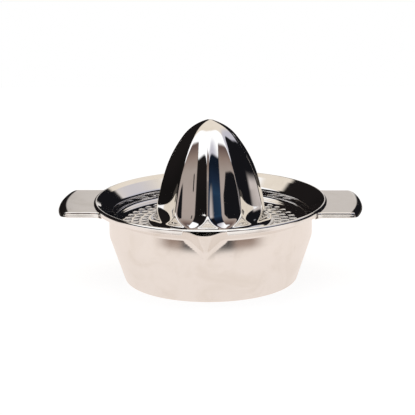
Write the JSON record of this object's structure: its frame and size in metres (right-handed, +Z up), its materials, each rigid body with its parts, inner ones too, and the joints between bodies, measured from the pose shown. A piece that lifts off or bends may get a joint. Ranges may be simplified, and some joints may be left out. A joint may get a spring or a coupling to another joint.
{
  "type": "citrus juicer",
  "caption": "Two-part pressed-steel hand citrus juicer: spouted bowl and a lift-out strainer with fluted reamer cone, perforated dish and two side handles.",
  "frame": {"origin": "centre of the bowl's flat base, on the surface that the juicer stands on", "axes": "+X through the right handle, -Y towards the pouring spout, +Z up along the reamer cone"},
  "size_m": [0.1954, 0.1549, 0.105],
  "materials": {
    "bowl_steel": "polished",
    "strainer_steel": "mirror polished",
    "reamer_steel": "mirror polished",
    "handle_steel": "polished"
  },
  "bodies": {
    "bowl": {"bowl": "bowl_steel"},
    "strainer": {"strainer": "strainer_steel", "reamer_cone": "reamer_steel", "handle_left": "handle_steel", "handle_right": "handle_steel"}
  },
  "joints": [
    {"name": "strainer_lift", "type": "slide", "parent": "bowl", "child": "strainer", "axis": [0, 0, 1], "range_m": [0, 0.06]}
  ]
}
